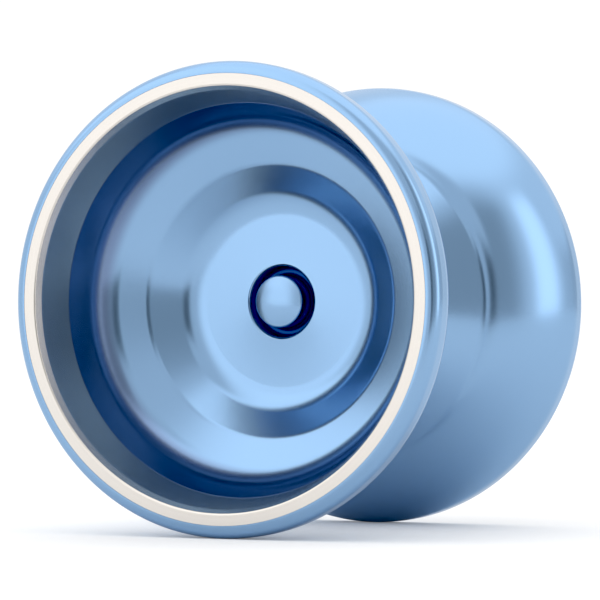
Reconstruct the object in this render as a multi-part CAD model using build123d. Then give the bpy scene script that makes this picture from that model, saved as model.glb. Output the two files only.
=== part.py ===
"""Two-metal yo-yo on a ball bearing, as the separate pieces that it comes apart into.

The axle lies along Y and the origin is the middle of the string gap. The near half is on the -Y
side and the far half on the +Y side. Outlines are points (radius, distance from the middle plane),
turned about the axle line. All lengths are in millimetres and all angles in degrees.
"""

from build123d import *
import os
from math import atan2, cos, hypot, radians, sin, tan

# Overall size
BODY_DIAMETER = 56.0
BODY_WIDTH = 45.64

# Ball bearing: inch size 1/4 x 1/2 x 3/16
BEARING_BORE = 6.35
BEARING_DIAMETER = 12.70
BEARING_WIDTH = 4.763
BALL_COUNT = 8
BALL_DIAMETER = 1.984
BALL_CLEARANCE = 0.015
RACE_GROOVE_DEPTH = 0.30
RACE_CHAMFER = 0.2
CAGE_SIDE_CLEARANCE = 0.22
CAGE_BACK_WALL = 0.40
CAGE_PRONG_LENGTH = 0.55
POCKET_CLEARANCE = 0.06
SHIELD_THICKNESS = 0.20
SHIELD_BORE_CLEARANCE = 0.12
SHIELD_SEAT_DEPTH = 0.25
SHIELD_SINK = 0.53
SNAP_RING_WIDTH = 0.28
SNAP_RING_HEIGHT = 0.42
SNAP_RING_OPENING = 1.2

# Axle: a headless hexagon-socket screw that draws the halves together
AXLE_DIAMETER = 4.0
AXLE_LENGTH = 12.0
AXLE_CHAMFER = 0.4
SOCKET_WIDTH = 2.0
SOCKET_DEPTH = 2.0
THREAD_CLEARANCE = 0.02
HOLE_RUN_OUT = 0.4
HOLE_MOUTH_CHAMFER = 0.3
DRILL_POINT_ANGLE = 118.0

# Bearing seat in each half
POST_CLEARANCE = 0.01
POST_GAP = 0.8
POST_CHAMFER = 0.2
SEAT_WIDTH = 0.70
BEARING_SIDE_CLEARANCE = 0.42
BEARING_RIM_CLEARANCE = 0.25

# Response pads and the string gap between the halves
STRING_GAP = 4.4
RECESS_WALL = 0.65
PAD_WIDTH = 2.2
PAD_THICKNESS = 1.0
PAD_SINK = 0.1
PAD_SIDE_CLEARANCE = 0.05
PAD_CHAMFER = 0.15
GAP_LAND_WIDTH = 1.2
GAP_ROOT_ROUND = 2.2

# Web between the gap and the cup, and the cup's wall, slope, dish and floor, which step in from the ring
WEB_THICKNESS = 2.83
CUP_WALL_DRAFT = 1.69
CUP_CORNER_ROUND = 5.3
SLOPE_WIDTH = 5.12
SLOPE_ANGLE = 26.0
DISH_DEPTH = 3.74
DISH_ANGLE = 40.0
DISH_ROUND = 5.0
DISH_EDGE_ROUND = 3.0
FLOOR_CROWN = 0.33

# Hub stud in the middle of the cup, inside its groove
HUB_RADIUS = 3.17
HUB_SIDE_HEIGHT = 0.79
HUB_DOME_HEIGHT = 0.56
HUB_EDGE_ROUND = 0.3
HUB_GROOVE_WIDTH = 1.11
HUB_GROOVE_DEPTH = 2.2
HUB_GROOVE_ROUND = 0.5
HUB_GROOVE_EDGE_ROUND = 0.3

# Step on the gap side of each half, placed from the cup's corner so that the wall keeps its thickness
STEP_WALL = 1.98
STEP_INSET = 0.8
STEP_EDGE_ROUND = 0.4
STEP_FOOT_WIDTH = 1.2
STEP_FOOT_DEPTH = 0.45
STEP_FOOT_ROUND = 2.5

# Rim
LIP_ROUND = 1.5
LIP_WALL = 1.53
RIM_LAND = 1.0
RIM_BACK_ROUND = 2.84
RIM_BACK_SWEEP = 22.0

# Steel weight ring, pressed into the rim and flush with its lip
RING_WIDTH = 5.4
RING_FACE_WIDTH = 1.42
RING_BEVEL_WIDTH = 0.47
RING_BEVEL_DEPTH = 0.93
RING_FACE_ROUND = 0.3
RING_TAPER = 1.19
RING_BACK_CHAMFER = 1.2

# Distances from the middle plane
seat_at = BEARING_WIDTH / 2
relief_at = seat_at + BEARING_SIDE_CLEARANCE
land_at = STRING_GAP / 2
pad_face_at = land_at + PAD_SINK
pad_back_at = pad_face_at + PAD_THICKNESS
floor_at = pad_back_at + WEB_THICKNESS
crown_at = floor_at + FLOOR_CROWN
hub_groove_at = crown_at - HUB_GROOVE_DEPTH
hub_edge_at = crown_at + HUB_SIDE_HEIGHT
dish_edge_at = floor_at + DISH_DEPTH
cup_corner_at = dish_edge_at + SLOPE_WIDTH * tan(radians(SLOPE_ANGLE))
step_at = cup_corner_at - STEP_WALL
rim_at = BODY_WIDTH / 2
ring_back_at = rim_at - RING_WIDTH
lip_at = rim_at - LIP_ROUND
post_end_at = POST_GAP / 2
hole_end_at = AXLE_LENGTH / 2 + HOLE_RUN_OUT

# Radii about the axle line
hole_r = AXLE_DIAMETER / 2
post_r = BEARING_BORE / 2 - POST_CLEARANCE
seat_r = post_r + SEAT_WIDTH
recess_r = BEARING_DIAMETER / 2 + BEARING_RIM_CLEARANCE
pad_groove_inner_r = recess_r + RECESS_WALL
pad_inner_r = pad_groove_inner_r + PAD_SIDE_CLEARANCE
pad_outer_r = pad_inner_r + PAD_WIDTH
pad_groove_outer_r = pad_outer_r + PAD_SIDE_CLEARANCE
gap_root_r = pad_groove_outer_r + GAP_LAND_WIDTH
body_r = BODY_DIAMETER / 2
ring_outer_r = body_r - LIP_WALL
ring_face_inner_r = ring_outer_r - RING_FACE_WIDTH
ring_mouth_r = ring_face_inner_r - RING_BEVEL_WIDTH
ring_back_inner_r = ring_mouth_r - RING_TAPER
cup_corner_r = ring_back_inner_r - CUP_WALL_DRAFT
dish_edge_r = cup_corner_r - SLOPE_WIDTH
floor_r = dish_edge_r - DISH_DEPTH / tan(radians(DISH_ANGLE)) - DISH_ROUND * tan(radians(DISH_ANGLE / 2))
hub_groove_r = HUB_RADIUS + HUB_GROOVE_WIDTH
step_r = cup_corner_r - STEP_INSET
pitch_r = (BEARING_BORE + BEARING_DIAMETER) / 4
ball_r = BALL_DIAMETER / 2
race_groove_r = ball_r + BALL_CLEARANCE
inner_race_r = pitch_r - race_groove_r + RACE_GROOVE_DEPTH
outer_race_bore_r = pitch_r + race_groove_r - RACE_GROOVE_DEPTH
shield_at = seat_at - SHIELD_SINK
shield_outer_r = outer_race_bore_r + SHIELD_SEAT_DEPTH


def turned(outline):
    """Turns the area inside an outline about the axle line."""
    return revolve(make_face(outline), axis=Axis.Y)


def washer(inner_r, outer_r, low, high):
    """Gives the flat ring between two radii and two places along the axle line."""
    return turned(Polyline((inner_r, low), (outer_r, low), (outer_r, high), (inner_r, high), close=True))


def near_side(part):
    """Gives the same part turned end for end, for the near side."""
    return part.rotate(Axis.Z, 180)


def hub_and_gap_side():
    """Draws a half's outline from its drilled hole, over the bearing seat and pad groove, to the step."""
    drill_tip_at = hole_end_at + hole_r / tan(radians(DRILL_POINT_ANGLE / 2))
    step_foot = (step_r - STEP_FOOT_WIDTH, step_at - STEP_FOOT_DEPTH)
    sharp_and_rounded = [
        ((0, drill_tip_at), 0),
        ((hole_r, hole_end_at), 0),
        ((hole_r, post_end_at + HOLE_MOUTH_CHAMFER), 0),
        ((hole_r + HOLE_MOUTH_CHAMFER, post_end_at), 0),
        ((post_r - POST_CHAMFER, post_end_at), 0),
        ((post_r, post_end_at + POST_CHAMFER), 0),
        ((post_r, seat_at), 0),
        ((seat_r, seat_at), 0),
        ((seat_r, relief_at), 0),
        ((recess_r, relief_at), 0),
        ((recess_r, land_at), 0),
        ((pad_groove_inner_r, land_at), 0),
        ((pad_groove_inner_r, pad_back_at), 0),
        ((pad_groove_outer_r, pad_back_at), 0),
        ((pad_groove_outer_r, land_at), 0),
        ((gap_root_r, land_at), GAP_ROOT_ROUND),
        (step_foot, STEP_FOOT_ROUND),
        ((step_r, step_at), 0),
    ]
    points = [point for point, _ in sharp_and_rounded]
    rounds = [size for _, size in sharp_and_rounded[1:-1]]
    return FilletPolyline(*points, radius=rounds)


def rim_outside():
    """Draws the outline from the step, over the shoulder and the rim's land, to the lip's front."""
    back_of_land = (body_r, lip_at - RIM_LAND)
    rim_back = JernArc(back_of_land, (0, -1), RIM_BACK_ROUND, -RIM_BACK_SWEEP)
    shoulder = TangentArc(rim_back @ 1, (step_r, step_at), tangent=rim_back % 1)
    land = Line(back_of_land, (body_r, lip_at))
    lip = JernArc((body_r, lip_at), (0, 1), LIP_ROUND, 90)
    return [rim_back, shoulder, land, lip]


def cup_corner_round():
    """Gives the radius between the cup's wall and slope, no larger than a shallow wall leaves room for."""
    wall_height = ring_back_at - cup_corner_at
    turn = atan2(wall_height, CUP_WALL_DRAFT) - radians(SLOPE_ANGLE)
    largest = 0.9 * hypot(wall_height, CUP_WALL_DRAFT) / abs(tan(turn / 2))
    return min(CUP_CORNER_ROUND, largest)


def ring_recess_and_cup(lip_end):
    """Draws the outline from the lip's front, down the ring's recess and the cup, to the dish's edge."""
    return FilletPolyline(
        lip_end,
        (ring_outer_r, rim_at),
        (ring_outer_r, ring_back_at + RING_BACK_CHAMFER),
        (ring_outer_r - RING_BACK_CHAMFER, ring_back_at),
        (ring_back_inner_r, ring_back_at),
        (cup_corner_r, cup_corner_at),
        (dish_edge_r, dish_edge_at),
        radius=[0, 0, 0, 0, cup_corner_round()],
    )


def dish_and_hub():
    """Draws the outline from the dish's edge, over the crowned floor and the hub stud, to the axle line."""
    dish_foot = JernArc((floor_r, floor_at), (1, 0), DISH_ROUND, DISH_ANGLE)
    dish = Line(dish_foot @ 1, (dish_edge_r, dish_edge_at))
    floor = TangentArc((floor_r, floor_at), (hub_groove_r, crown_at), tangent=(-1, 0))
    groove = FilletPolyline(
        (hub_groove_r, crown_at),
        (hub_groove_r, hub_groove_at),
        (HUB_RADIUS, hub_groove_at),
        (HUB_RADIUS, hub_edge_at),
        radius=HUB_GROOVE_ROUND,
    )
    dome = TangentArc((0, hub_edge_at + HUB_DOME_HEIGHT), (HUB_RADIUS, hub_edge_at), tangent=(1, 0))
    return [dish, dish_foot, floor, groove, dome]


def half_shell():
    """Makes the far half: seat, web, cup, hub stud, step, shoulder and rim in one turned piece."""
    gap_side = hub_and_gap_side()
    outside = rim_outside()
    inside = ring_recess_and_cup(outside[-1] @ 1)
    middle = dish_and_hub()
    centre = Line(middle[-1] @ 0, gap_side @ 0)
    face = make_face([gap_side, *outside, inside, *middle, centre])
    rounded_edges = [
        ((step_r, step_at), STEP_EDGE_ROUND),
        ((dish_edge_r, dish_edge_at), DISH_EDGE_ROUND),
        ((hub_groove_r, crown_at), HUB_GROOVE_EDGE_ROUND),
        ((HUB_RADIUS, hub_edge_at), HUB_EDGE_ROUND),
    ]
    for place, size in rounded_edges:
        face = fillet(face.vertices().sort_by_distance(place)[0], size)
    return revolve(face, axis=Axis.Y)


def weight_ring():
    """Makes the far weight ring: a flat face, a bevelled mouth, a tapered bore and a chamfered back."""
    return turned(
        FilletPolyline(
            (ring_outer_r, rim_at),
            (ring_outer_r, ring_back_at + RING_BACK_CHAMFER),
            (ring_outer_r - RING_BACK_CHAMFER, ring_back_at),
            (ring_back_inner_r, ring_back_at),
            (ring_mouth_r, rim_at - RING_BEVEL_DEPTH),
            (ring_face_inner_r, rim_at),
            radius=[0, 0, 0, 0, 0, RING_FACE_ROUND],
            close=True,
        )
    )


def response_pad():
    """Makes the far response pad: a soft flat ring with its two front edges broken."""
    return turned(
        Polyline(
            (pad_inner_r, pad_back_at),
            (pad_outer_r, pad_back_at),
            (pad_outer_r, pad_face_at + PAD_CHAMFER),
            (pad_outer_r - PAD_CHAMFER, pad_face_at),
            (pad_inner_r + PAD_CHAMFER, pad_face_at),
            (pad_inner_r, pad_face_at + PAD_CHAMFER),
            close=True,
        )
    )


def axle():
    """Makes the axle screw as a plain rod of its thread's outer size, with a hexagon socket in one end."""
    rod = Cylinder(hole_r - THREAD_CLEARANCE, AXLE_LENGTH, rotation=(90, 0, 0))
    rod = chamfer(rod.edges().filter_by(GeomType.CIRCLE), AXLE_CHAMFER)
    socket_end = Plane((0, AXLE_LENGTH / 2, 0), z_dir=(0, -1, 0))
    hexagon = socket_end * RegularPolygon(SOCKET_WIDTH / 2, 6, major_radius=False)
    return rod - extrude(hexagon, SOCKET_DEPTH)


def race_groove():
    """Makes the ring-shaped space that the balls run through, a little larger than the balls."""
    return turned(Circle(race_groove_r).moved(Location((pitch_r, 0))).edge())


def bearing_inner_race():
    """Makes the inner race, a slide fit on both posts and held between the two seats."""
    half_width = BEARING_WIDTH / 2
    bore_r = BEARING_BORE / 2
    blank = turned(
        Polyline(
            (bore_r, -half_width + RACE_CHAMFER),
            (bore_r + RACE_CHAMFER, -half_width),
            (inner_race_r, -half_width),
            (inner_race_r, half_width),
            (bore_r + RACE_CHAMFER, half_width),
            (bore_r, half_width - RACE_CHAMFER),
            close=True,
        )
    )
    return blank - race_groove()


def bearing_outer_race():
    """Makes the outer race, which the string loops round, with a seat for a shield at each end."""
    half_width = BEARING_WIDTH / 2
    outer_r = BEARING_DIAMETER / 2
    blank = turned(
        Polyline(
            (outer_race_bore_r, -shield_at),
            (shield_outer_r, -shield_at),
            (shield_outer_r, -half_width),
            (outer_r - RACE_CHAMFER, -half_width),
            (outer_r, -half_width + RACE_CHAMFER),
            (outer_r, half_width - RACE_CHAMFER),
            (outer_r - RACE_CHAMFER, half_width),
            (shield_outer_r, half_width),
            (shield_outer_r, shield_at),
            (outer_race_bore_r, shield_at),
            close=True,
        )
    )
    return blank - race_groove()


def ball_place(number):
    """Gives the centre of one ball on the pitch circle."""
    angle = radians(360 / BALL_COUNT * number)
    return Location((pitch_r * cos(angle), 0, pitch_r * sin(angle)))


def bearing_ball(number):
    """Makes one ball at its place on the pitch circle."""
    return ball_place(number) * Sphere(ball_r)


def bearing_cage():
    """Makes the crown cage, a ring with one open-sided pocket for each ball."""
    pocket_r = ball_r + POCKET_CLEARANCE
    cage = washer(
        inner_race_r + CAGE_SIDE_CLEARANCE,
        outer_race_bore_r - CAGE_SIDE_CLEARANCE,
        -CAGE_PRONG_LENGTH,
        pocket_r + CAGE_BACK_WALL,
    )
    for number in range(BALL_COUNT):
        cage -= ball_place(number) * Sphere(pocket_r)
    return cage


def bearing_shield():
    """Makes the far shield, a thin washer on its seat in the outer race, clear of the inner race."""
    bore_r = inner_race_r + SHIELD_BORE_CLEARANCE
    return washer(bore_r, shield_outer_r, shield_at, shield_at + SHIELD_THICKNESS)


def shield_snap_ring():
    """Makes the far snap ring, an open wire ring that holds the shield on its seat."""
    low = shield_at + SHIELD_THICKNESS
    ring = washer(shield_outer_r - SNAP_RING_HEIGHT, shield_outer_r, low, low + SNAP_RING_WIDTH)
    opening = Box(SNAP_RING_OPENING, BEARING_WIDTH, shield_outer_r)
    return ring - opening.moved(Location((0, 0, shield_outer_r)))


def nodes():
    """Gives every piece by its name."""
    half, ring, pad = half_shell(), weight_ring(), response_pad()
    shield, snap_ring = bearing_shield(), shield_snap_ring()
    made = {
        "near_half": near_side(half),
        "far_half": half,
        "near_weight_ring": near_side(ring),
        "far_weight_ring": ring,
        "near_response_pad": near_side(pad),
        "far_response_pad": pad,
        "axle": axle(),
        "bearing_inner_race": bearing_inner_race(),
        "bearing_outer_race": bearing_outer_race(),
        "bearing_cage": bearing_cage(),
        "near_shield": near_side(shield),
        "far_shield": shield,
        "near_snap_ring": near_side(snap_ring),
        "far_snap_ring": snap_ring,
    }
    for number in range(BALL_COUNT):
        made[f"bearing_ball_{number + 1}"] = bearing_ball(number)
    return made


os.makedirs("parts", exist_ok=True)
for name, piece in nodes().items():
    export_step(piece, f"parts/{name}.step")
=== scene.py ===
from math import atan2, ceil, cos, pi, radians, sin, tan

import bpy
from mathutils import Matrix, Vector


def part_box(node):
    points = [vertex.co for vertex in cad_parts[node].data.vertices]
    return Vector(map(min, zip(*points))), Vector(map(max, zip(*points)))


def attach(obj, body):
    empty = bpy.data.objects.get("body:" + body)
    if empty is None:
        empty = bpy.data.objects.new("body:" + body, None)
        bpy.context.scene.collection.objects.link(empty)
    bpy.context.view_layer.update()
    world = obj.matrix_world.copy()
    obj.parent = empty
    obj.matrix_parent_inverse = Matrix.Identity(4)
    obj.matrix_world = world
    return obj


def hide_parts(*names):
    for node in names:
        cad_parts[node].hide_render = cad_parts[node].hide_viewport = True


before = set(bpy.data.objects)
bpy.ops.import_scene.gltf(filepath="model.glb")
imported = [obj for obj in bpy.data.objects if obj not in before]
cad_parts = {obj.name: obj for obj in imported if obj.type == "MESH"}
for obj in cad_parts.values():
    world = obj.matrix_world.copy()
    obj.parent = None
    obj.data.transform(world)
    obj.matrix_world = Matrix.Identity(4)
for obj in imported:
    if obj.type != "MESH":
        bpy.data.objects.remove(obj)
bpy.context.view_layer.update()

# ---------------------------------------------------------------------------------------------
# Axle screw
# A headless M4 screw of blackened steel that draws the two halves together through the bearing.
# It is turned, its thread is drawn as parallel grooves, and a hexagon socket is broached into one end.
# ---------------------------------------------------------------------------------------------
MM = 0.001


class Turning:
    """Draws a turned piece's outline point by point, as (radius, place along the axle), then spins it round.

    A corner given with a rounding is drawn as an arc, and swing() draws an arc that leaves the last
    stretch smoothly and ends at a point.
    """

    ARC_STEP = radians(3)

    def __init__(self, name, radius, place):
        bpy.ops.object.select_all(action="DESELECT")
        bpy.ops.mesh.primitive_plane_add(size=MM)
        self.piece = bpy.context.object
        self.piece.name = name
        self.piece.data.name = name
        bpy.ops.object.mode_set(mode="EDIT")
        bpy.ops.mesh.merge(type="CENTER")
        bpy.ops.transform.translate(value=(radius, place, 0))
        self.here = Vector((radius, place))
        self.heading = None
        self.corner = None

    def straight(self, end):
        step = end - self.here
        if step.length > 1e-9:
            bpy.ops.mesh.extrude_region_move(TRANSFORM_OT_translate={"value": (step.x, step.y, 0)})
            self.heading = step.normalized()
            self.here = end

    def arc(self, end):
        chord = end - self.here
        side = Vector((-self.heading.y, self.heading.x))
        lean = side.dot(chord)
        radius = chord.length_squared / (2 * lean)
        centre = self.here + side * radius
        turn = 2 * atan2(lean, self.heading.dot(chord))
        steps = max(2, ceil(abs(turn) / self.ARC_STEP))
        bpy.ops.mesh.spin(steps=steps, angle=-turn, center=(centre.x, centre.y, 0), axis=(0, 0, 1))
        self.heading = Vector((
            self.heading.x * cos(turn) - self.heading.y * sin(turn),
            self.heading.x * sin(turn) + self.heading.y * cos(turn),
        ))
        self.here = end

    def to(self, radius, place, rounding=0.0):
        target = Vector((radius, place))
        if self.corner:
            corner, size = self.corner
            before = (corner - self.here).normalized()
            after = (target - corner).normalized()
            turn = before.angle(after)
            reach = size * tan(turn / 2)
            self.corner = None
            self.straight(corner - before * reach)
            self.arc(corner + after * reach)
        if rounding:
            self.corner = (target, rounding)
        else:
            self.straight(target)

    def swing(self, radius, place):
        self.arc(Vector((radius, place)))

    def spin(self, segments, crease=30):
        bpy.ops.mesh.select_all(action="SELECT")
        bpy.ops.mesh.spin(steps=segments, angle=2 * pi, center=(0, 0, 0), axis=(0, 1, 0))
        bpy.ops.mesh.select_all(action="SELECT")
        bpy.ops.mesh.remove_doubles(threshold=0.002 * MM)
        bpy.ops.mesh.normals_make_consistent(inside=False)
        bpy.ops.object.mode_set(mode="OBJECT")
        bpy.ops.object.shade_smooth_by_angle(angle=radians(crease))
        even = self.piece.modifiers.new("even_shading", "WEIGHTED_NORMAL")
        even.keep_sharp = True
        bpy.ops.object.modifier_apply(modifier=even.name)
        return self.piece


class Value:
    """An output in a material's nodes. Arithmetic on it adds Math nodes, and node() adds any other node."""

    def __init__(self, tree, socket=None):
        self.tree = tree
        self.socket = socket

    def node(self, kind, settings=None, inputs=None, output=0):
        made = self.tree.nodes.new(kind)
        for key, setting in (settings or {}).items():
            if key == "stops":
                ramp = made.color_ramp
                while len(ramp.elements) < len(setting):
                    ramp.elements.new(1)
                for element, (place, colour) in zip(ramp.elements, setting):
                    element.position = place
                    element.color = (*colour, 1)
            else:
                setattr(made, key, setting)
        for key, entry in (inputs or {}).items():
            if isinstance(entry, Value):
                self.tree.links.new(entry.socket, made.inputs[key])
            else:
                made.inputs[key].default_value = entry
        return Value(self.tree, made.outputs[output] if made.outputs else None)

    def maths(self, operation, *entries):
        return self.node("ShaderNodeMath", {"operation": operation}, dict(enumerate(entries)))

    def __add__(self, other):
        return self.maths("ADD", self, other)

    def __sub__(self, other):
        return self.maths("SUBTRACT", self, other)

    def __mul__(self, other):
        return self.maths("MULTIPLY", self, other)

    def __rsub__(self, other):
        return self.maths("SUBTRACT", other, self)

    __radd__ = __add__
    __rmul__ = __mul__

    def __pow__(self, other):
        return self.maths("POWER", self, other)

    def window(self, low, high, soft):
        """Is 1 between low and high and fades to 0 over soft outside them."""
        smooth = {"interpolation_type": "SMOOTHSTEP"}
        rise = self.node("ShaderNodeMapRange", smooth, {0: self, 1: low - soft, 2: low, 3: 0.0, 4: 1.0})
        fall = self.node("ShaderNodeMapRange", smooth, {0: self, 1: high, 2: high + soft, 3: 1.0, 4: 0.0})
        return rise * fall


class Finish:
    """A material with one Principled shader, with the coordinates of a turned piece ready to use."""

    def __init__(self, name, **shader):
        self.material = bpy.data.materials.new(name)
        self.material.use_nodes = True
        tree = self.material.node_tree
        self.shader = tree.nodes["Principled BSDF"]
        for socket, setting in shader.items():
            self.shader.inputs[socket.replace("_", " ").title().replace("Ior", "IOR")].default_value = setting
        self.start = Value(tree)
        self.place = self.start.node("ShaderNodeTexCoord", output="Object")
        x, y, z = (self.start.node("ShaderNodeSeparateXYZ", None, {0: self.place}, axis) for axis in range(3))
        self.along = y
        self.radius = (x * x + z * z) ** 0.5
        self.turned = self.start.node("ShaderNodeCombineXYZ", None, {0: self.radius, 1: self.along})

    def noise(self, size, where=None, detail=2.0):
        """Gives a noise from 0 to 1 whose patches are about size metres across."""
        return self.start.node(
            "ShaderNodeTexNoise", None, {"Vector": where or self.place, "Scale": 1 / size, "Detail": detail}
        )

    def feed(self, socket, value):
        self.material.node_tree.links.new(value.socket, self.shader.inputs[socket])

    def blend(self, mask, low, high):
        """Gives a colour that goes from low to high with a mask. Each end is a colour or another blend."""
        low, high = (end if isinstance(end, Value) else (*end, 1) for end in (low, high))
        return self.start.node("ShaderNodeMix", {"data_type": "RGBA"}, {"Factor": mask, 6: low, 7: high}, 2)

    def relief(self, height, depth):
        """Lets a height from 0 to 1 raise the surface by depth metres."""
        shape = {"Strength": 1.0, "Distance": depth, "Height": height}
        self.feed("Normal", self.start.node("ShaderNodeBump", None, shape))

    def put_on(self, *pieces):
        for piece in pieces:
            piece.data.materials.clear()
            piece.data.materials.append(self.material)


def fit(piece, body, slot, *nodes):
    """Lets a finished piece stand for its CAD nodes and ride on their body."""
    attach(piece, body)
    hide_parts(*nodes)


axle_low, axle_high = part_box("axle")
thread_pitch = 0.7 * MM
thread_depth = 0.36 * MM
thread_foot = 0.30 * MM
crest_flat = 0.06 * MM
socket_width = 2.0 * MM
socket_depth = 2.0 * MM
crest_radius = axle_high.x
root_radius = crest_radius - thread_depth
crests = int((axle_high.y - axle_low.y) / thread_pitch)
first_crest = -thread_pitch * (crests - 1) / 2

screw = Turning("axle_screw", 0, axle_low.y)
screw.to(root_radius, axle_low.y)
for number in range(crests):
    place = first_crest + number * thread_pitch
    screw.to(root_radius, place - thread_foot)
    screw.to(crest_radius, place - crest_flat)
    screw.to(crest_radius, place + crest_flat)
    screw.to(root_radius, place + thread_foot)
screw.to(root_radius, axle_high.y)
screw.to(0, axle_high.y)
axle_screw = screw.spin(segments=64, crease=20)

bpy.ops.object.select_all(action="DESELECT")
bpy.ops.mesh.primitive_cylinder_add(
    vertices=6, radius=socket_width / 2 / cos(pi / 6), depth=2 * socket_depth,
    location=(0, axle_high.y, 0), rotation=(pi / 2, 0, 0),
)
hexagon = bpy.context.object
socket = axle_screw.modifiers.new("socket", "BOOLEAN")
socket.operation = "DIFFERENCE"
socket.solver = "EXACT"
socket.object = hexagon
bpy.ops.object.select_all(action="DESELECT")
axle_screw.select_set(True)
bpy.context.view_layer.objects.active = axle_screw
bpy.ops.object.modifier_apply(modifier=socket.name)
bpy.data.objects.remove(hexagon)
bpy.ops.object.shade_smooth_by_angle(angle=radians(20))

blackened = Finish("blackened_steel", metallic=1.0)
worn = blackened.noise(0.6 * MM, detail=4.0)
rubbed = worn * blackened.radius.window(crest_radius - 0.06 * MM, 3 * MM, 0.04 * MM)
blackened.feed("Base Color", blackened.blend(rubbed, (0.030, 0.030, 0.034), (0.13, 0.125, 0.12)))
blackened.feed("Roughness", 0.45 - 0.15 * worn)
blackened.relief(worn, 0.004 * MM)
blackened.put_on(axle_screw)
fit(axle_screw, "spinning_halves", "blackened_steel", "axle")

# ---------------------------------------------------------------------------------------------
# Bearing
# A shielded ball bearing of hardened chrome steel: two ground races, polished balls in a pressed
# cage, and a thin washer held by an open wire ring at each end.
# ---------------------------------------------------------------------------------------------
bearing_steel = Finish("bearing_steel", metallic=1.0)
grind = bearing_steel.noise(0.05 * MM, bearing_steel.turned)
oil = bearing_steel.noise(0.8 * MM, detail=4.0)
bearing_steel.feed("Base Color", bearing_steel.blend(grind, (0.58, 0.58, 0.60), (0.74, 0.74, 0.76)))
bearing_steel.feed("Roughness", 0.10 + 0.12 * grind + 0.08 * oil)
bearing_steel.relief(grind, 0.0008 * MM)
pressed_steel = Finish("pressed_steel", metallic=1.0)
scuff = pressed_steel.noise(0.4 * MM, detail=5.0)
pressed_steel.feed("Base Color", pressed_steel.blend(scuff, (0.46, 0.45, 0.44), (0.58, 0.57, 0.55)))
pressed_steel.feed("Roughness", 0.22 + 0.2 * scuff)
pressed_steel.relief(scuff, 0.004 * MM)
shield_steel = Finish("shield_steel", metallic=1.0)
rolled = shield_steel.noise(0.12 * MM, shield_steel.turned, 3.0)
shield_steel.feed("Base Color", shield_steel.blend(rolled, (0.5, 0.5, 0.5), (0.66, 0.66, 0.66)))
shield_steel.feed("Roughness", 0.2 + 0.15 * rolled)
shield_steel.relief(rolled, 0.003 * MM)

bearing_steel.put_on(*(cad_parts[f"bearing_ball_{number}"] for number in range(1, 9)))
bearing_steel.put_on(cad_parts["bearing_inner_race"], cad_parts["bearing_outer_race"])
pressed_steel.put_on(*(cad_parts[name] for name in ("bearing_cage", "near_snap_ring", "far_snap_ring")))
shield_steel.put_on(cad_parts["near_shield"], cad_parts["far_shield"])

# ---------------------------------------------------------------------------------------------
# Response pads
# Two soft rings of cast silicone, glued into the grooves beside the bearing, that grip the string.
# ---------------------------------------------------------------------------------------------
silicone = Finish("silicone")
cloud = silicone.noise(0.6 * MM, detail=4.0)
pores = silicone.noise(0.09 * MM)
silicone.feed("Base Color", silicone.blend(cloud, (0.68, 0.70, 0.70), (0.82, 0.83, 0.82)))
silicone.feed("Roughness", 0.5 + 0.25 * pores)
silicone.relief(pores, 0.01 * MM)
silicone.put_on(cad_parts["near_response_pad"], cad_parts["far_response_pad"])

# ---------------------------------------------------------------------------------------------
# Halves
# Each half is turned from one billet of aluminium, bead blasted and anodised light blue.
# Outside it flares from the string gap over a step to the rim; inside it is a stepped cup.
# ---------------------------------------------------------------------------------------------
half_low, half_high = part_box("far_half")
ring_low, ring_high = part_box("far_weight_ring")
body_radius = half_high.x
rim_front = half_high.y
ring_radius = ring_high.x
ring_back = ring_low.y

lip_round = 1.5 * MM
rim_land = 1.0 * MM
rim_back_round = 2.84 * MM
rim_back_sweep = radians(22)
ring_back_chamfer = 1.2 * MM
ring_back_bore = 23.39 * MM
cup_wall_draft = 1.69 * MM
cup_corner_round = 5.3 * MM
slope_width = 5.12 * MM
slope_angle = radians(26)
dish_depth = 3.74 * MM
dish_angle = radians(40)
dish_round = 5.0 * MM
dish_edge_round = 3.0 * MM
floor_place = 6.13 * MM
floor_crown = 0.33 * MM
crown_fall = 0.032 * MM
hub_radius = 3.17 * MM
hub_side = 0.79 * MM
hub_dome = 0.56 * MM
hub_edge_round = 0.3 * MM
dome_edge = Vector((0.4 * MM, 0.133 * MM))
groove_width = 1.11 * MM
groove_depth = 2.2 * MM
groove_round = 0.5 * MM
groove_edge_round = 0.3 * MM
step_wall = 1.98 * MM
step_inset = 0.8 * MM
step_foot = Vector((1.2 * MM, 0.45 * MM))
gap_land = 2.2 * MM
gap_root_radius = 10.75 * MM
gap_root_round = 2.2 * MM
gap_edge_round = 0.1 * MM
step_foot_round = 2.5 * MM
pad_groove_outer = 9.55 * MM
pad_groove_inner = 7.25 * MM
pad_groove_floor = 3.3 * MM
recess_radius = 6.6 * MM
relief_floor = 2.8015 * MM
seat_radius = 3.865 * MM
seat_place = 2.3815 * MM
post_radius = 3.165 * MM
post_end = 0.4 * MM
post_chamfer = 0.2 * MM
hole_radius = 2.0 * MM
hole_end = 6.4 * MM
hole_chamfer = 0.3 * MM
drill_tip = 7.6 * MM

cup_corner = Vector((ring_back_bore - cup_wall_draft, 0))
dish_edge = Vector((cup_corner.x - slope_width, floor_place + dish_depth))
cup_corner.y = dish_edge.y + slope_width * tan(slope_angle)
dish_foot = dish_edge.x - dish_depth / tan(dish_angle)
floor_radius = dish_foot - dish_round * tan(dish_angle / 2)
step = Vector((cup_corner.x - step_inset, cup_corner.y - step_wall))
groove_radius = hub_radius + groove_width
crown = floor_place + floor_crown
hub_edge = crown + hub_side
hub_top = hub_edge + hub_dome
land_end = rim_front - lip_round

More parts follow.
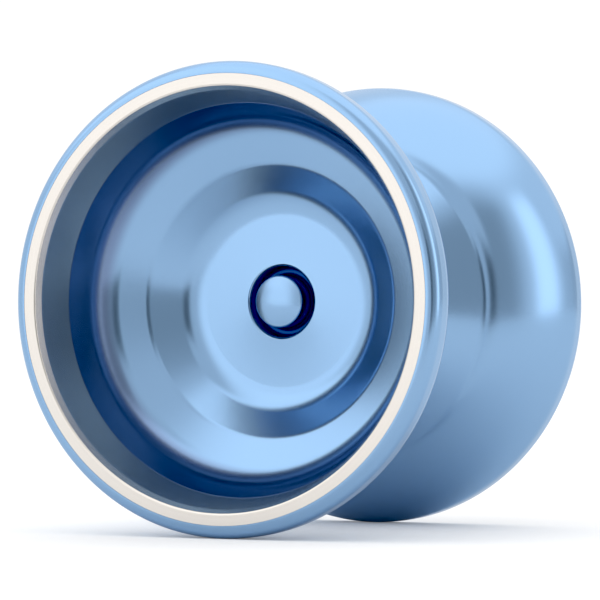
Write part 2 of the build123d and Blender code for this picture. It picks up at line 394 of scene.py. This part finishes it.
half = Turning("far_half_shell", 0, drill_tip)
half.to(hole_radius, hole_end)
half.to(hole_radius, post_end + hole_chamfer)
half.to(hole_radius + hole_chamfer, post_end)
half.to(post_radius - post_chamfer, post_end)
half.to(post_radius, post_end + post_chamfer)
half.to(post_radius, seat_place)
half.to(seat_radius, seat_place)
half.to(seat_radius, relief_floor)
half.to(recess_radius, relief_floor)
half.to(recess_radius, gap_land, gap_edge_round)
half.to(pad_groove_inner, gap_land, gap_edge_round)
half.to(pad_groove_inner, pad_groove_floor)
half.to(pad_groove_outer, pad_groove_floor)
half.to(pad_groove_outer, gap_land, gap_edge_round)
half.to(gap_root_radius, gap_land, gap_root_round)
half.to(step.x - step_foot.x, step.y - step_foot.y, step_foot_round)
half.to(step.x, step.y)
rim_back_start = Vector((
    body_radius - rim_back_round * (1 - cos(rim_back_sweep)),
    land_end - rim_land - rim_back_round * sin(rim_back_sweep),
))
# One arc joins the step to the rim's back, so it leaves the step as steeply as it arrives there.
chord = (rim_back_start - step).normalized()
arrival = Vector((sin(rim_back_sweep), cos(rim_back_sweep)))
half.heading = 2 * chord.dot(arrival) * chord - arrival
half.swing(*rim_back_start)
half.swing(body_radius, land_end - rim_land)
half.to(body_radius, land_end)
half.swing(body_radius - lip_round, rim_front)
half.to(ring_radius, rim_front)
half.to(ring_radius, ring_back + ring_back_chamfer)
half.to(ring_radius - ring_back_chamfer, ring_back)
half.to(ring_back_bore, ring_back)
half.to(cup_corner.x, cup_corner.y, cup_corner_round)
half.to(dish_edge.x, dish_edge.y, dish_edge_round)
half.to(dish_foot, floor_place, dish_round)
half.to(floor_radius, floor_place)
half.swing(groove_radius + groove_edge_round, crown - crown_fall)
half.to(groove_radius, crown, groove_edge_round)
half.to(groove_radius, crown - groove_depth, groove_round)
half.to(hub_radius, crown - groove_depth, groove_round)
half.to(hub_radius, hub_edge, hub_edge_round)
half.to(hub_radius - dome_edge.x, hub_edge + dome_edge.y)
half.swing(0, hub_top)
half.to(0, drill_tip)
far_shell = half.spin(segments=224, crease=18)

anodised = Finish("anodised_aluminium", metallic=1.0, roughness=0.3)
blast = anodised.noise(0.12 * MM)
lines = anodised.noise(0.10 * MM, anodised.turned)
depth = anodised.start.maths("ABSOLUTE", anodised.along)
inside = depth - 1.5 * anodised.radius + 20.75 * MM
# Painted shade: the blue is darkened towards the cup's inner corner under the ring, chosen by radius and
# depth, where shade falls.
corner = anodised.radius.window(21.4 * MM, 23.5 * MM, 1.4 * MM) * inside.window(0.8 * MM, 20 * MM, 0.4 * MM)
# Painted shade: the groove round the hub is painted nearly black, chosen by radius and depth, where it lies
# in shade.
painted_groove_shade = anodised.radius.window(3.3 * MM, 4.2 * MM, 0.12 * MM) * depth.window(4 * MM, 6.35 * MM, 0.3 * MM)
dye_and_painted_shade = anodised.blend(blast, (0.275, 0.445, 0.68), (0.295, 0.470, 0.70))
dye_and_painted_shade = anodised.blend(0.9 * corner, dye_and_painted_shade, (0.19, 0.26, 0.42))
dye_and_painted_shade = anodised.blend(painted_groove_shade, dye_and_painted_shade, (0.02, 0.06, 0.20))
anodised.feed("Base Color", dye_and_painted_shade)
anodised.feed("Roughness", 0.17 + 0.03 * blast + 0.02 * lines)
anodised.relief(0.6 * blast + 0.4 * lines, 0.0015 * MM)
anodised.put_on(far_shell)


def turned_copy(piece, name):
    """Gives a copy of a finished piece, turned end for end, for the near side."""
    bpy.ops.object.select_all(action="DESELECT")
    piece.select_set(True)
    bpy.context.view_layer.objects.active = piece
    bpy.ops.object.duplicate()
    copy = bpy.context.object
    copy.name = name
    bpy.ops.transform.rotate(value=pi, orient_axis="Z", center_override=(0, 0, 0))
    bpy.ops.object.transform_apply(location=True, rotation=True, scale=True)
    return copy


near_shell = turned_copy(far_shell, "near_half_shell")
fit(far_shell, "spinning_halves", "anodised_shell", "far_half")
fit(near_shell, "spinning_halves", "anodised_shell", "near_half")

# ---------------------------------------------------------------------------------------------
# Weight rings
# Each rim carries a stainless steel ring, turned bright and pressed in flush with the lip.
# ---------------------------------------------------------------------------------------------
ring_face_width = 1.42 * MM
ring_bevel = Vector((0.47 * MM, 0.93 * MM))
ring_middle = (ring_back + rim_front) / 2

ring = Turning("far_ring", ring_radius, ring_middle)
ring.to(ring_radius, ring_back + ring_back_chamfer)
ring.to(ring_radius - ring_back_chamfer, ring_back)
ring.to(ring_back_bore, ring_back, 0.08 * MM)
mouth = Vector((ring_radius - ring_face_width - ring_bevel.x, rim_front - ring_bevel.y))
ring.to(mouth.x, mouth.y, 0.15 * MM)
ring.to(ring_radius - ring_face_width, rim_front, 0.3 * MM)
ring.to(ring_radius, rim_front, 0.06 * MM)
ring.to(ring_radius, ring_middle)
far_ring = ring.spin(segments=224, crease=25)

turned_steel = Finish("turned_steel", metallic=1.0, roughness=0.3)
tool_lines = turned_steel.noise(0.09 * MM, turned_steel.turned, 3.0)
# Painted shade: the ring's bore and bevel get a darker steel colour than its face, chosen by radius, where
# they lie in shade.
painted_bore_shade = turned_steel.radius.window(20 * MM, 24.5 * MM, 0.08 * MM)
bright = turned_steel.blend(tool_lines, (0.67, 0.63, 0.59), (0.74, 0.71, 0.67))
turned_steel.feed("Base Color", turned_steel.blend(painted_bore_shade, bright, (0.55, 0.53, 0.51)))
turned_steel.feed("Roughness", 0.20 + 0.08 * tool_lines)
turned_steel.relief(tool_lines, 0.002 * MM)
turned_steel.put_on(far_ring)

near_ring = turned_copy(far_ring, "near_ring")
fit(far_ring, "spinning_halves", "turned_steel", "far_weight_ring")
fit(near_ring, "spinning_halves", "turned_steel", "near_weight_ring")

# ---------------------------------------------------------------------------------------------
# Table and light tent
# The yo-yo stands on its rims on a sheet of matt white paper inside a white light tent.
# ---------------------------------------------------------------------------------------------
sheet_turn = radians(35)
sheet_length = 3.0
sheet_front = 0.23
to_front = Vector((sin(sheet_turn), -cos(sheet_turn), 0))
bpy.ops.object.select_all(action="DESELECT")
bpy.ops.mesh.primitive_plane_add(size=sheet_length, rotation=(0, 0, sheet_turn))
paper = bpy.context.object
paper.location = to_front * (sheet_front - sheet_length / 2) + Vector((0, 0, half_low.x))
paper.name = "table_paper"
paper_finish = Finish("white_paper", roughness=0.9, specular_ior_level=0.1, emission_strength=0.16)
grain = paper_finish.noise(1.5 * MM)
paper_finish.feed("Base Color", paper_finish.blend(grain, (0.80, 0.80, 0.80), (0.88, 0.88, 0.88)))
paper_finish.feed("Emission Color", paper_finish.start.node("ShaderNodeLightPath", output="Is Camera Ray"))
paper_finish.relief(grain, 0.05 * MM)
paper_finish.put_on(paper)

tent = bpy.data.worlds.new("light_tent")
tent.use_nodes = True
bpy.context.scene.world = tent
sky = Value(tent.node_tree)
direction = sky.node("ShaderNodeTexCoord", output="Generated")
east, north, up = (sky.node("ShaderNodeSeparateXYZ", None, {0: direction}, axis) for axis in range(3))
bearing_angle = sky.maths("ARCTAN2", east, 0 - north) * (180 / pi)
height_angle = sky.maths("ARCSINE", up) * (180 / pi)


def panel(wall, start, end, fade, brightness):
    """Gives the tent's wall its own brightness between two bearings, faded at both edges, in degrees."""
    return wall + (brightness - wall) * bearing_angle.window(start, end, fade)


key_light = panel(1.0, -34, -14, 20, 1.42)
front_wall = panel(key_light, 10, 68, 12, 0.84)
grey_card = panel(front_wall, 46, 62, 14, 0.52)
camera_opening = panel(grey_card, 30, 38, 9, 0.18)
side_light = panel(camera_opening, 86, 98, 7, 1.8)
wall = panel(side_light, 112, 150, 8, 0.75)
upper = 1.12 + 0.4 * bearing_angle.window(-70, -12, 20) - 0.25 * bearing_angle.window(5, 50, 35)
roof = height_angle.window(60, 90, 12)
low = height_angle.window(-90, 14, 12)
tall = bearing_angle.window(48, 104, 8) * height_angle.window(-90, 40, 10)
low = low + tall - low * tall
below = height_angle.window(-90, -14, 6)
glow = (low * wall + (1.0 - low) * (upper + (1.45 - upper) * roof)) * (1.0 - below)
seen = sky.node("ShaderNodeLightPath", output="Is Camera Ray")
strength = seen * 1.05 + (1.0 - seen) * glow
backdrop = tent.node_tree.nodes["Background"]
tent.node_tree.links.new(strength.socket, backdrop.inputs["Strength"])
backdrop.inputs["Color"].default_value = (1, 1, 1, 1)

camera_data = bpy.data.cameras.new("camera")
camera_data.lens = 188.2
camera_data.sensor_width = 36
camera_data.clip_start = 0.01
camera = bpy.data.objects.new("camera", camera_data)
bpy.context.scene.collection.objects.link(camera)
camera_aim = Vector((-0.44501, 0.89533, 0.01869))
camera.location = (0.17153, -0.34648, -0.00693)
camera.rotation_euler = camera_aim.to_track_quat("-Z", "Y").to_euler()
bpy.context.scene.camera = camera
bpy.context.scene.view_settings.view_transform = "Standard"
bpy.context.scene.view_settings.use_curve_mapping = True
bpy.context.scene.view_settings.curve_mapping.black_level = (0.02, 0.02, 0.02)
